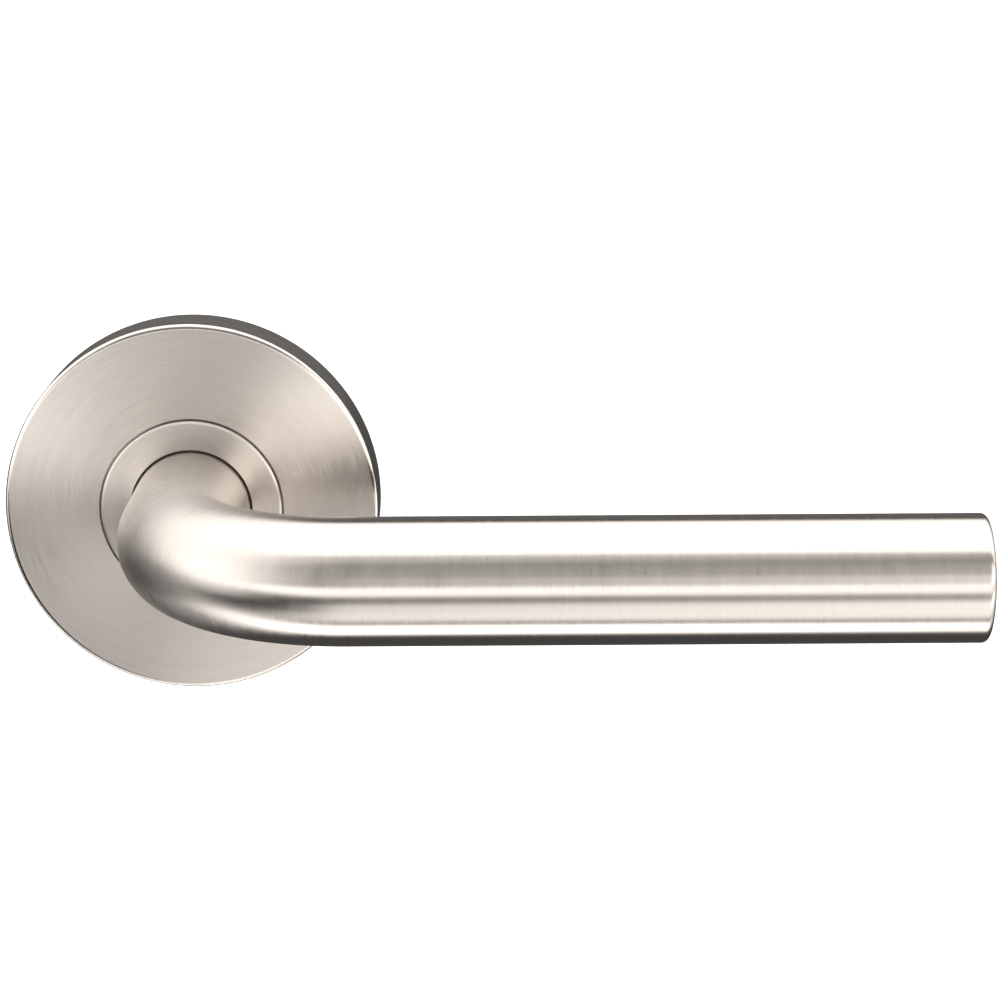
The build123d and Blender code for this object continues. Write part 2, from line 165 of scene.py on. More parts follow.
class HandleFinish(bpy.types.PropertyGroup):
    """Brushing of the stainless pieces, and the colour of every finish."""

    steel: bpy.props.FloatVectorProperty(
        name="Steel", description="Colour of the stainless steel", subtype="COLOR", size=4,
        default=(0.74, 0.685, 0.635, 1.0), min=0.0, max=1.0)
    roughness: bpy.props.FloatProperty(
        name="Roughness", description="Roughness of the brushed steel", default=0.42, subtype="FACTOR")
    anisotropy: bpy.props.FloatProperty(
        name="Anisotropy", description="How far the brushing spreads light across its lines",
        default=0.97, subtype="FACTOR")
    line_width: bpy.props.FloatProperty(
        name="Line width", description="Width of a brushed line", default=0.22 * MM, unit="LENGTH")
    stray: bpy.props.FloatProperty(
        name="Stray", description="How far single lines stray from the grain, in turns", default=0.04)
    cast_zinc: bpy.props.FloatVectorProperty(
        name="Cast zinc", description="Colour of the die-cast base plate", subtype="COLOR", size=4,
        default=(0.50, 0.51, 0.53, 1.0), min=0.0, max=1.0)
    zinc_plate: bpy.props.FloatVectorProperty(
        name="Zinc plating", description="Colour of the zinc-plated steel", subtype="COLOR", size=4,
        default=(0.62, 0.64, 0.68, 1.0), min=0.0, max=1.0)
    plain_steel: bpy.props.FloatVectorProperty(
        name="Plain steel", description="Colour of the turned steel", subtype="COLOR", size=4,
        default=(0.55, 0.55, 0.56, 1.0), min=0.0, max=1.0)
    spring_steel: bpy.props.FloatVectorProperty(
        name="Spring steel", description="Colour of the oiled spring steel", subtype="COLOR", size=4,
        default=(0.30, 0.30, 0.32, 1.0), min=0.0, max=1.0)
    black_oxide: bpy.props.FloatVectorProperty(
        name="Black oxide", description="Colour of the grub screw", subtype="COLOR", size=4,
        default=(0.06, 0.06, 0.065, 1.0), min=0.0, max=1.0)
    white_nylon: bpy.props.FloatVectorProperty(
        name="White nylon", description="Colour of the bush", subtype="COLOR", size=4,
        default=(0.82, 0.80, 0.74, 1.0), min=0.0, max=1.0)
    black_nylon: bpy.props.FloatVectorProperty(
        name="Black nylon", description="Colour of the collar's washer", subtype="COLOR", size=4,
        default=(0.03, 0.03, 0.03, 1.0), min=0.0, max=1.0)
    rubber: bpy.props.FloatVectorProperty(
        name="Rubber", description="Colour of the O-ring", subtype="COLOR", size=4,
        default=(0.02, 0.02, 0.02, 1.0), min=0.0, max=1.0)


class HandleStage(bpy.types.PropertyGroup):
    """Camera and floor."""

    camera_place: bpy.props.FloatVectorProperty(
        name="Camera", description="Where the camera stands", subtype="TRANSLATION", unit="LENGTH",
        default=(0.0524, -0.4693, 0.1129))
    camera_tilt: bpy.props.FloatProperty(
        name="Tilt", description="How far the camera looks down", subtype="ANGLE", default=radians(13.68))
    camera_roll: bpy.props.FloatProperty(
        name="Roll", description="How far the camera leans", subtype="ANGLE", default=radians(-0.35))
    lens: bpy.props.FloatProperty(
        name="Lens", description="Focal length in millimetres", default=100.0)
    floor_depth: bpy.props.FloatProperty(
        name="Floor depth", description="How far the floor is below the spindle",
        default=0.22, unit="LENGTH")


# ------------------------------------------------------------------ mesh helpers
def round_points(points, corner, radius, steps=6):
    """Replaces one corner of a polyline of (x, y) points with an arc of the given radius."""
    before, point, after = (Vector(points[(corner + k) % len(points)]) for k in (-1, 0, 1))
    a = (before - point).normalized()
    b = (after - point).normalized()
    reach = radius / ((1 - a.dot(b)) / (1 + a.dot(b))) ** 0.5
    centre = point + (a + b).normalized() * (reach ** 2 + radius ** 2) ** 0.5
    start = point + a * reach - centre
    end = point + b * reach - centre
    turn = start.angle_signed(end)
    arc = []
    for k in range(steps + 1):
        step = start.copy()
        step.rotate(Matrix.Rotation(-turn * k / steps, 2))
        arc.append(tuple(centre + step))
    return points[:corner] + arc + points[corner + 1:]


def spin_profile(bm, profile, segments=192, centre=(0.0, 0.0)):
    """Turns a profile of (radius, height) points about an axis along Y.

    The profile is closed if it stays off the axis, and runs from axis to axis if it starts there.
    """
    x, z = centre
    verts = [bm.verts.new((x + radius, -height, z)) for radius, height in profile]
    pairs = list(zip(verts, verts[1:]))
    if profile[0][0] > 0:
        pairs.append((verts[-1], verts[0]))
    edges = [bm.edges.new(pair) for pair in pairs]
    bmesh.ops.spin(bm, geom=verts + edges, cent=(x, 0, z), axis=(0, 1, 0), angle=tau,
                   steps=segments, use_merge=True)
    bmesh.ops.remove_doubles(bm, verts=bm.verts, dist=JOINED)
    bmesh.ops.recalc_face_normals(bm, faces=bm.faces)


def edges_in(geometry):
    """The edges among the bmesh elements that an operator gives."""
    return [item for item in geometry if isinstance(item, bmesh.types.BMEdge)]


def verts_in(geometry):
    """The vertices among the bmesh elements that an operator gives."""
    return [item for item in geometry if isinstance(item, bmesh.types.BMVert)]


def draw_out(bm, ring, travel):
    """Extrudes a ring of edges along a vector, and gives the new ring."""
    drawn = bmesh.ops.extrude_edge_only(bm, edges=ring)["geom"]
    bmesh.ops.translate(bm, verts=verts_in(drawn), vec=travel)
    return edges_in(drawn)


def ring_of_edges(bm, segments, radius, matrix):
    """A circle of edges, which a tube or wire is drawn out from."""
    made = bmesh.ops.create_circle(bm, segments=segments, radius=radius, matrix=matrix)
    return list({edge for vert in made["verts"] for edge in vert.link_edges})


def thread_points(crest, root, start, end, pitch):
    """Profile points of a thread's ridges, from one height to another."""
    # the root and the crest of a ridge, as parts of its pitch
    root_at = 0.35
    crest_at = 0.8
    step = pitch if end > start else -pitch
    points = []
    for k in range(int(abs(end - start) / pitch)):
        points.append((root, start + (k + root_at) * step))
        points.append((crest, start + (k + crest_at) * step))
    return points


def lay_grain(bm, place):
    """Stores where a point lies across the brushing and round it, for the finish to follow.

    place(point) gives the distance across the lines and the angle round them. The map holds them for
    the tangent, and the vector (distance, cosine, sine) has no seam.
    """
    map_scale = 10
    grain = bm.verts.layers.float_vector.new("grain")
    brush = bm.loops.layers.uv.new("brush")
    for vert in bm.verts:
        across, angle = place(vert.co)
        vert[grain] = (across, cos(angle), sin(angle))
    for face in bm.faces:
        _, middle = place(face.calc_center_median())
        for loop in face.loops:
            across, angle = place(loop.vert.co)
            angle = middle + (angle - middle + pi) % tau - pi
            loop[brush].uv = (across * map_scale, angle / tau)


def round_place(point):
    """Across and round the spindle's axis."""
    return Vector((point.x, point.z)).length + point.y, atan2(point.z, point.x)


def mesh_from(name, bm):
    """Turns a bmesh into a mesh, and frees the bmesh."""
    mesh = bpy.data.meshes.new(name)
    bm.to_mesh(mesh)
    bm.free()
    return mesh


def make_piece(name, bm, body, finish, replaced):
    """Turns a bmesh into a finished piece that stands for frame nodes.

    It rides on the body, unless that is None, and then it is left unattached.
    """
    mesh = mesh_from(name, bm)
    for polygon in mesh.polygons:
        polygon.use_smooth = True
    mesh.set_sharp_from_angle(angle=FACETED)
    mesh.materials.append(finish)
    piece = bpy.data.objects.new(name, mesh)
    bpy.context.scene.collection.objects.link(piece)
    if body:
        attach(piece, body)
    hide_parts(*replaced)
    return piece


def closed_prism(sides, radius, depth, matrix):
    """A prism of so many sides, to be cut out of a piece."""
    bm = bmesh.new()
    bmesh.ops.create_cone(bm, cap_ends=True, segments=sides, radius1=radius, radius2=radius,
                          depth=depth, matrix=matrix)
    return mesh_from("prism", bm)


def cut_out(piece, cutter_mesh):
    """Cuts a closed mesh out of a piece, for good, and removes the mesh."""
    cutter = bpy.data.objects.new("cutter", cutter_mesh)
    bpy.context.scene.collection.objects.link(cutter)
    cut = piece.modifiers.new("cut", "BOOLEAN")
    cut.operation = "DIFFERENCE"
    cut.solver = "EXACT"
    cut.use_self = True
    cut.object = cutter
    shape = piece.evaluated_get(bpy.context.evaluated_depsgraph_get())
    mesh = bpy.data.meshes.new_from_object(shape)
    if not mesh.polygons:
        raise RuntimeError(f"nothing is left of {piece.name} after its cut")
    piece.modifiers.remove(cut)
    old = piece.data
    piece.data = mesh
    bpy.data.meshes.remove(old)
    bpy.data.objects.remove(cutter)
    bpy.data.meshes.remove(cutter_mesh)


# ------------------------------------------------------------------ material helpers
class Nodes:
    """A node tree with short calls for adding and joining nodes."""

    def __init__(self, tree):
        self.tree = tree
        tree.nodes.clear()

    def add(self, kind, inputs=None, **settings):
        """A new node, with its settings made and its inputs given."""
        node = self.tree.nodes.new(kind)
        for key, value in settings.items():
            setattr(node, key, value)
        for key, value in (inputs or {}).items():
            self.give(node.inputs[key], value)
        return node

    def give(self, socket, value):
        """Joins a socket to an input, or sets the input to a plain value."""
        if isinstance(value, bpy.types.NodeSocket):
            self.tree.links.new(value, socket)
        else:
            socket.default_value = value

    def math(self, operation, a, b=0.0, c=0.0):
        """One piece of arithmetic on up to three values."""
        return self.add("ShaderNodeMath", {0: a, 1: b, 2: c}, operation=operation).outputs[0]

    def spread(self, value, low, high):
        """Maps 0..1 to low..high."""
        return self.add("ShaderNodeMapRange", {"Value": value, "To Min": low, "To Max": high}).outputs[0]

    def noise(self, vector, scale, detail=2.0, roughness=0.5):
        """Smooth noise from 0 to 1."""
        return self.add("ShaderNodeTexNoise", {
            "Vector": vector, "Scale": scale, "Detail": detail, "Roughness": roughness}).outputs["Fac"]


def new_material(name):
    """An empty material and its nodes."""
    material = bpy.data.materials.new(name)
    material.use_nodes = True
    return material, Nodes(material.node_tree)


def tinted(colour, gain):
    """A colour made lighter or darker."""
    return tuple(min(1.0, c * gain) for c in colour[:3]) + (1.0,)


def brushed_steel(name, lines_round=5.0, contrast=0.2, bump=0.5, gloss=0.15):
    """Stainless steel brushed in fine lines that follow the piece's grain.

    lines_round is about how often a line changes in a radian round the piece. Gloss lowers the
    roughness, and the anisotropy a little.
    """
    finish = bpy.context.scene.handle_finish
    roughness = finish.roughness * (1 - gloss)
    material, n = new_material(name)
    grain = n.add("ShaderNodeAttribute", attribute_name="grain").outputs["Vector"]
    fine = 1 / finish.line_width
    stretch = n.add("ShaderNodeVectorMath", {0: grain, 1: (fine, lines_round, lines_round)},
                    operation="MULTIPLY").outputs[0]
    broad = n.add("ShaderNodeVectorMath", {0: grain, 1: (fine / 5, lines_round / 3, lines_round / 3)},
                  operation="MULTIPLY").outputs[0]
    lines = n.noise(stretch, 1.0, detail=3.0, roughness=0.6)
    bands = n.noise(broad, 1.0, detail=2.0)
    mixed = n.math("MULTIPLY_ADD", bands, 0.4, n.math("MULTIPLY", lines, 0.6))
    shade = n.add("ShaderNodeMix", {
        "Factor": mixed, "A": tinted(finish.steel, 1 - contrast), "B": tinted(finish.steel, 1 + contrast),
    }, data_type="RGBA")
    relief = n.add("ShaderNodeBump", {
        "Strength": bump, "Distance": 0.01 * MM, "Height": lines}).outputs[0]
    tangent = n.add("ShaderNodeTangent", direction_type="UV_MAP", uv_map="brush").outputs[0]
    shader = n.add("ShaderNodeBsdfPrincipled", {
        "Base Color": shade.outputs[2], "Metallic": 1.0,
        "Anisotropic": finish.anisotropy * (1 - gloss / 3),
        "Roughness": n.spread(mixed, roughness * 0.75, roughness * 1.25),
        "Anisotropic Rotation": n.spread(lines, 0.5 - finish.stray, 0.5 + finish.stray),
        "Normal": relief, "Tangent": tangent,
    })
    n.add("ShaderNodeOutputMaterial", {"Surface": shader.outputs[0]})
    return material


def turned_metal(name, colour, roughness, grain=(120, 1500, 120)):
    """Machined or plated metal with fine marks.

    The grain is about how many marks there are in a metre along X, Y and Z.
    """
    material, n = new_material(name)
    place = n.add("ShaderNodeTexCoord").outputs["Object"]
    stretched = n.add("ShaderNodeMapping", {"Vector": place, "Scale": grain}).outputs[0]
    marks = n.noise(stretched, 1.0, detail=4.0, roughness=0.6)
    clouds = n.noise(place, 180.0, detail=3.0)
    shade = n.add("ShaderNodeMix", {
        "Factor": n.math("MULTIPLY_ADD", marks, 0.5, n.math("MULTIPLY", clouds, 0.5)),
        "A": tinted(colour, 0.82), "B": tinted(colour, 1.12),
    }, data_type="RGBA")
    relief = n.add("ShaderNodeBump", {"Strength": 0.3, "Distance": 0.02 * MM, "Height": marks}).outputs[0]
    shader = n.add("ShaderNodeBsdfPrincipled", {
        "Base Color": shade.outputs[2], "Metallic": 1.0,
        "Roughness": n.spread(clouds, roughness - 0.08, roughness + 0.1), "Normal": relief,
    })
    n.add("ShaderNodeOutputMaterial", {"Surface": shader.outputs[0]})
    return material


def cast_metal():
    """Die-cast zinc as it leaves the tool: dull, faintly pitted, with flow marks."""
    colour = bpy.context.scene.handle_finish.cast_zinc
    material, n = new_material("cast_finish")
    place = n.add("ShaderNodeTexCoord").outputs["Object"]
    skin = n.noise(place, 2200.0, detail=5.0, roughness=0.65)
    flow = n.noise(place, 140.0, detail=4.0)
    shade = n.add("ShaderNodeMix", {
        "Factor": n.math("MULTIPLY_ADD", skin, 0.4, n.math("MULTIPLY", flow, 0.6)),
        "A": tinted(colour, 0.7), "B": tinted(colour, 1.15),
    }, data_type="RGBA")
    relief = n.add("ShaderNodeBump", {"Strength": 0.5, "Distance": 0.05 * MM, "Height": skin}).outputs[0]
    shader = n.add("ShaderNodeBsdfPrincipled", {
        "Base Color": shade.outputs[2], "Metallic": 0.85,
        "Roughness": n.spread(flow, 0.42, 0.62), "Normal": relief,
    })
    n.add("ShaderNodeOutputMaterial", {"Surface": shader.outputs[0]})
    return material


def nylon(name, colour, roughness=0.42):
    """Moulded nylon or rubber with the fine skin that its tool leaves."""
    material, n = new_material(name)
    place = n.add("ShaderNodeTexCoord").outputs["Object"]
    skin = n.noise(place, 3000.0, detail=3.0)
    shade = n.add("ShaderNodeMix", {
        "Factor": n.noise(place, 200.0), "A": tinted(colour, 0.9), "B": tinted(colour, 1.08),
    }, data_type="RGBA")
    relief = n.add("ShaderNodeBump", {"Strength": 0.25, "Distance": 0.02 * MM, "Height": skin}).outputs[0]
    shader = n.add("ShaderNodeBsdfPrincipled", {
        "Base Color": shade.outputs[2], "Roughness": n.spread(skin, roughness - 0.06, roughness + 0.08),
        "Normal": relief,
    })
    n.add("ShaderNodeOutputMaterial", {"Surface": shader.outputs[0]})
    return material


# ------------------------------------------------------------------ pieces
class HANDLE_OT_rose_cover(bpy.types.Operator):
    """Model the spun cover of the rose"""

    bl_idname = "handle.rose_cover"
    bl_label = "Rose cover"

    def execute(self, context):
        sizes = context.scene.handle_sizes
        floor_front = -node_box("collar_washer")[1].y
        recess = collar_radius + sizes.cover_gap
        sleeve_clearance = 0.2 * MM
        recess_rounding = 0.15 * MM
        hole = sizes.collar_thread + sleeve_clearance
        sheet = sizes.cover_sheet
        profile = [
            (rose_radius, 0.0),
            (rose_radius, rose_height - sizes.cover_crown),
            (recess, rose_height),
            (recess, floor_front),
            (hole, floor_front),
            (hole, floor_front - sheet),
            (recess + sheet, floor_front - sheet),
            (recess + sheet, rose_height - sheet),
            (rose_radius - sheet, rose_height - sheet),
            (rose_radius - sheet, 0.0),
        ]
        profile = round_points(profile, 2, recess_rounding, 4)
        profile = round_points(profile, 1, sizes.cover_rounding, 10)
        bm = bmesh.new()
        spin_profile(bm, profile, segments=256)
        lay_grain(bm, round_place)
        steel = brushed_steel("rose_steel")
        cover = make_piece("rose_cover_skin", bm, "rose", steel, ["rose_cover"])
        cover.data.materials.append(brushed_steel("rose_edge_steel", gloss=0.6))
        for polygon in cover.data.polygons:
            radius = Vector((polygon.center.x, polygon.center.z)).length
            if radius > rose_radius - sizes.cover_rounding:
                polygon.material_index = 1
        return {"FINISHED"}


class HANDLE_OT_collar_ring(bpy.types.Operator):
    """Model the ring round the neck"""

    bl_idname = "handle.collar_ring"
    bl_label = "Collar ring"

    def execute(self, context):
        sizes = context.scene.handle_sizes
        bore = bar_radius + sizes.neck_gap
        thread = sizes.collar_thread
        flange_back = -node_box("collar_washer")[0].y
        back = -collar_high.y
        profile = [
            (bore, collar_front),
            (collar_radius - sizes.collar_chamfer, collar_front),
            (collar_radius, collar_front - sizes.collar_chamfer),
            (collar_radius, flange_back),
            (thread, flange_back),
            (thread, back),
            (bore + sizes.collar_step, back),
            (bore + sizes.collar_step, flange_back),
            (bore, flange_back),
        ]
        bore_rounding = 0.12 * MM
        profile = round_points(profile, 0, bore_rounding, 4)
        bm = bmesh.new()
        spin_profile(bm, profile, segments=192)
        lay_grain(bm, round_place)
        steel = brushed_steel("collar_steel")
        make_piece("collar_ring_skin", bm, "rose", steel, ["collar_ring"])
        return {"FINISHED"}


def tube_place(point):
    """Along the bent tube from the door, which is across its brushing, and round it."""
    bend = bpy.context.scene.handle_sizes.bend_radius
    bend_start = bar_height - bend
    height = -point.y
    if height < bend_start and point.x < bend:
        return height, atan2(point.z, point.x)
    if point.x > bend:
        return bend_start + bend * pi / 2 + point.x - bend, atan2(point.z, bar_height - height)
    out = Vector((bend - point.x, height - bend_start))
    return bend_start + bend * atan2(out.y, out.x), atan2(point.z, bend - out.length)


class HANDLE_OT_lever(bpy.types.Operator):
    """Model the bent tube and the cap in its free end"""

    bl_idname = "handle.lever"
    bl_label = "Lever"

    def execute(self, context):
        sizes = context.scene.handle_sizes
        steel = brushed_steel("lever_steel", lines_round=4.0, contrast=0.16, bump=0.35, gloss=0.3)
        bm = bmesh.new()
        self.bent_tube(bm, sizes)
        lay_grain(bm, tube_place)
        tube = make_piece("lever_tube_skin", bm, "lever", steel, ["lever_tube"])
        cut_out(tube, self.grub_hole())
        bm = bmesh.new()
        self.end_cap(bm, sizes)
        lay_grain(bm, tube_place)
        make_piece("end_cap_skin", bm, "lever", steel, ["end_cap"])
        return {"FINISHED"}

    def grub_hole(self):
        """A cutter for the round hole through the underside of the neck."""
        clearance = 0.05 * MM
        depth = bar_radius * 0.6
        middle = Matrix.Translation((0, -grub_height, -bar_radius * 0.8))
        return closed_prism(64, grub_radius + clearance, depth, middle)

    def bent_tube(self, bm, sizes):
        """Both walls of the tube, drawn out from the neck, round the bend and along the bar."""
        bend = sizes.bend_radius
        bend_start = bar_height - bend
        start = Vector((0, -tube_start, 0))
        outer = ring_of_edges(bm, 128, bar_radius, (
            Matrix.Translation(start) @ Matrix.Rotation(pi / 2, 4, "X")))
        ring = outer + self.close_end(bm, outer, start, sizes)
        ring = self.run(bm, ring, Vector((0, tube_start - bend_start, 0)), 12)
        turned = bmesh.ops.spin(bm, geom=ring, cent=(bend, -bend_start, 0), axis=(0, 0, 1),
                                angle=pi / 2, steps=48)
        ring = self.run(bm, edges_in(turned["geom_last"]), Vector((tube_reach - bend, 0, 0)), 40)
        end = Vector((tube_reach, -bar_height, 0))
        middle_of_wall = bar_radius - sizes.tube_wall / 2
        outer = [e for e in ring if (e.verts[0].co - end).length > middle_of_wall]
        self.close_end(bm, outer, end, sizes)
        bmesh.ops.remove_doubles(bm, verts=bm.verts, dist=JOINED)
        bmesh.ops.recalc_face_normals(bm, faces=bm.faces)

    def close_end(self, bm, outer, centre, sizes):
        """The flat end between the walls. Gives the edges of its inner ring."""
        drawn = bmesh.ops.extrude_edge_only(bm, edges=outer)["geom"]
        size = 1 - sizes.tube_wall / bar_radius
        bmesh.ops.scale(bm, verts=verts_in(drawn), vec=(size, size, size),
                        space=Matrix.Translation(-centre))
        return edges_in(drawn)

    def run(self, bm, ring, travel, steps):
        """Draws a ring of edges out in a straight line, in so many steps."""
        for _ in range(steps):
            ring = draw_out(bm, ring, travel / steps)
        return ring

    def end_cap(self, bm, sizes):
        """A disc with a spigot, rounded where the free end is touched."""
        spigot = bar_radius - sizes.tube_wall
        profile = [
            (0.0, tube_reach - cap_spigot),
            (spigot, tube_reach - cap_spigot),
            (spigot, tube_reach),
            (bar_radius, tube_reach),
            (bar_radius, lever_reach),
            (0.0, lever_reach),
        ]
        profile = round_points(profile, 4, sizes.end_rounding, 10)
        verts = [bm.verts.new((along, -bar_height + radius, 0)) for radius, along in profile]
        edges = [bm.edges.new(pair) for pair in zip(verts, verts[1:])]
        bmesh.ops.spin(bm, geom=verts + edges, cent=(0, -bar_height, 0), axis=(1, 0, 0), angle=tau,
                       steps=128, use_merge=True)
        bmesh.ops.remove_doubles(bm, verts=bm.verts, dist=JOINED)
        bmesh.ops.recalc_face_normals(bm, faces=bm.faces)


class HANDLE_OT_grub_screw(bpy.types.Operator):
    """Model the socket set screw that holds the neck to the spindle"""

    bl_idname = "handle.grub_screw"
    bl_label = "Grub screw"

    def execute(self, context):
        sizes = context.scene.handle_sizes
        root = grub_radius - 0.45 * MM
        chamfer = 0.4 * MM
        pitch = 1 * MM
        tip = -grub_high.z
        head = -grub_low.z
        profile = [(0.0, tip), (root * 0.8, tip), (root, tip + chamfer)]
        profile += thread_points(grub_radius, root, tip + chamfer, head - chamfer, pitch)
        profile += [(root, head - 0.1 * MM), (root * 0.93, head), (0.0, head)]
        bm = bmesh.new()
        spin_profile(bm, profile, 64)
        bmesh.ops.rotate(bm, verts=bm.verts, cent=(0, 0, 0), matrix=Matrix.Rotation(pi / 2, 3, "X"))
        bmesh.ops.translate(bm, verts=bm.verts, vec=(0, -grub_height, 0))
        finish = turned_metal("grub_finish", context.scene.handle_finish.black_oxide, 0.38)
        screw = make_piece("grub_screw_threaded", bm, "lever", finish, ["grub_screw"])
        place = Matrix.Translation((0, -grub_height, -head))
        socket_depth = 2.5 * MM
        cut_out(screw, closed_prism(6, sizes.hex_width / 3 ** 0.5, 2 * socket_depth, place))
        return {"FINISHED"}


class HANDLE_OT_fixing_posts(bpy.types.Operator):
    """Model the two tapped posts that the handle is bolted by"""

    bl_idname = "handle.fixing_posts"
    bl_label = "Fixing posts"

    def execute(self, context):
        finish = turned_metal("post_finish", context.scene.handle_finish.zinc_plate, 0.26)
        for node in ("fixing_post_left", "fixing_post_right"):
            low, high = node_box(node)
            middle = (low + high) / 2
            profile = self.profile(context.scene.handle_sizes, low, high)
            bm = bmesh.new()
            spin_profile(bm, profile, segments=64, centre=(middle.x, middle.z))
            make_piece(f"{node}_turned", bm, "rose", finish, [node])
        return {"FINISHED"}

    def profile(self, sizes, low, high):
        """Head, shank and stud, then the tapped hole and its drill point."""
        head = (high.x - low.x) / 2
        front = -low.y
        end = -high.y
        head_back = front - 1.6 * MM
        head_chamfer = 0.3 * MM
        stud_start = spring_cover_back - 0.2 * MM
        stud_chamfer = 0.5 * MM
        crest = sizes.post_tap
        root = crest + 0.35 * MM
        tap_chamfer = 0.2 * MM
        tap_end = end + 20 * MM
        thread_end = tap_end - 4 * MM
        pitch = 0.7 * MM
        points = [
            (0.0, front),
            (head - head_chamfer, front),
            (head, front - head_chamfer),
            (head, head_back),
            (sizes.post_shank, head_back),
            (sizes.post_shank, stud_start),
            (sizes.post_stud, stud_start),
            (sizes.post_stud, end + stud_chamfer),
            (sizes.post_stud - stud_chamfer, end),
            (root + 0.15 * MM, end),
        ]
        points += thread_points(crest, root, end + tap_chamfer, thread_end, pitch)
        return points + [(crest, tap_end), (0.0, tap_end + crest * 0.6)]


class HANDLE_OT_cover_screws(bpy.types.Operator):
    """Model the four cross-head screws of the spring cover"""

    bl_idname = "handle.cover_screws"
    bl_label = "Cover screws"

    def execute(self, context):
        sizes = context.scene.handle_sizes
        out = screws_high.x - sizes.screw_head
        back = -screws_high.y
        end = -screws_low.y
        root = sizes.screw_radius - 0.27 * MM
        pitch = 0.5 * MM
        head = sizes.screw_head
        head_rounding = 1.1 * MM
        profile = [(0.0, back), (head, back), (head, spring_cover_back), (root, spring_cover_back)]
        profile = round_points(profile, 1, head_rounding, 8)
        profile += thread_points(sizes.screw_radius, root, spring_cover_back, end - 0.5 * MM, pitch)
        profile += [(root, end - 0.3 * MM), (root * 0.7, end), (0.0, end)]
        bm = bmesh.new()
        crosses = bmesh.new()
        for k, (x, z) in enumerate([(out, out), (-out, out), (-out, -out), (out, -out)]):
            screw = bmesh.new()
            spin_profile(screw, profile, segments=32)
            self.add_copy(bm, screw, Matrix.Translation((x, 0, z)))
            tightened = 0.7 + 1.3 * k
            for turn in (0, pi / 2):
                place = Matrix.Translation((x, -back, z)) @ Matrix.Rotation(turn + tightened, 4, "Y")
                self.add_copy(crosses, self.blade(), place)
        finish = turned_metal("screw_finish", context.scene.handle_finish.zinc_plate, 0.24)
        screws = make_piece("cover_screws_threaded", bm, "rose", finish,
                            ["spring_cover_screws"])
        cut_out(screws, mesh_from("crosses", crosses))
        return {"FINISHED"}

    def blade(self):
        """One of the two slots of a cross, narrower at its bottom."""
        length = 3.0 * MM
        height = 1.8 * MM
        width = 0.55 * MM
        bm = bmesh.new()
        bmesh.ops.create_cube(bm, size=1.0, matrix=Matrix.Diagonal((length, height, width, 1)))
        bottom = [v for v in bm.verts if v.co.y < 0]
        bmesh.ops.scale(bm, verts=bottom, vec=(0.45, 1, 0.8))
        return bm

    def add_copy(self, bm, part, matrix):
        """Adds a part to a bmesh at a place, and frees the part."""
        bmesh.ops.transform(part, matrix=matrix, verts=part.verts)
        mesh = mesh_from("copy", part)
        bm.from_mesh(mesh)
        bpy.data.meshes.remove(mesh)


class HANDLE_OT_return_spring(bpy.types.Operator):
    """Model the torsion spring, which winds up as the lever turns"""

    bl_idname = "handle.return_spring"
    bl_label = "Return spring"

    def execute(self, context):
        sizes = context.scene.handle_sizes
        wire = sizes.wire_radius
        steps = 220
        back = spring_high.y - wire
        travel = spring_high.y - spring_low.y - 2 * wire
        start = sizes.spring_start
        end = start + sizes.spring_turn
        coil = sizes.spring_coil
        bm = bmesh.new()
        tangent = Vector((-sin(start), 0, cos(start)))
        place = Vector((coil * cos(start), back, coil * sin(start))) - tangent * sizes.spring_leg
        turned = tangent.to_track_quat("Z", "Y").to_matrix().to_4x4()
        ring = ring_of_edges(bm, 20, wire, Matrix.Translation(place) @ turned)
        ring = draw_out(bm, ring, tangent * sizes.spring_leg)
        wound = bmesh.ops.spin(bm, geom=ring, cent=(0, 0, 0), axis=(0, -1, 0), angle=sizes.spring_turn,
                               dvec=(0, -travel / steps, 0), steps=steps)
        tangent = Vector((-sin(end), 0, cos(end)))
        draw_out(bm, edges_in(wound["geom_last"]), tangent * sizes.spring_leg)
        bmesh.ops.holes_fill(bm, edges=[e for e in bm.edges if e.is_boundary], sides=0)
        bmesh.ops.recalc_face_normals(bm, faces=bm.faces)
        finish = turned_metal("spring_finish", context.scene.handle_finish.spring_steel, 0.3)
        spring = make_piece("return_spring_coil", bm, None, finish, ["return_spring"])
        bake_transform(spring)
        return {"FINISHED"}


class HANDLE_OT_spindle(bpy.types.Operator):
    """Model the square bar that turns the latch"""

    bl_idname = "handle.spindle"
    bl_label = "Spindle"

    def execute(self, context):
        size = spindle_high - spindle_low
        bm = bmesh.new()
        bmesh.ops.create_cube(bm, size=1.0, matrix=(
            Matrix.Translation((spindle_low + spindle_high) / 2) @ Matrix.Diagonal((*size, 1))))
        corner_chamfer = 0.4 * MM
        end_chamfer = 0.5 * MM
        self.chamfer(bm, [e for e in bm.edges if self.lies_along(e)], corner_chamfer)
        self.chamfer(bm, [e for e in bm.edges if not self.lies_along(e)], end_chamfer)
        drawn_grain = (900, 12, 900)
        finish = turned_metal("spindle_finish", context.scene.handle_finish.zinc_plate, 0.3, drawn_grain)
        make_piece("spindle_bar", bm, "lever", finish, ["spindle"])
        return {"FINISHED"}

    def lies_along(self, edge):
        """Whether an edge runs along the bar, not across it."""
        return abs(edge.verts[0].co.y - edge.verts[1].co.y) > 10 * MM

    def chamfer(self, bm, edges, width):
        """Cuts the edges off flat."""
        bmesh.ops.bevel(bm, geom=edges, offset=width, offset_type="OFFSET", segments=1, profile=0.5,
                        affect="EDGES", material=-1)


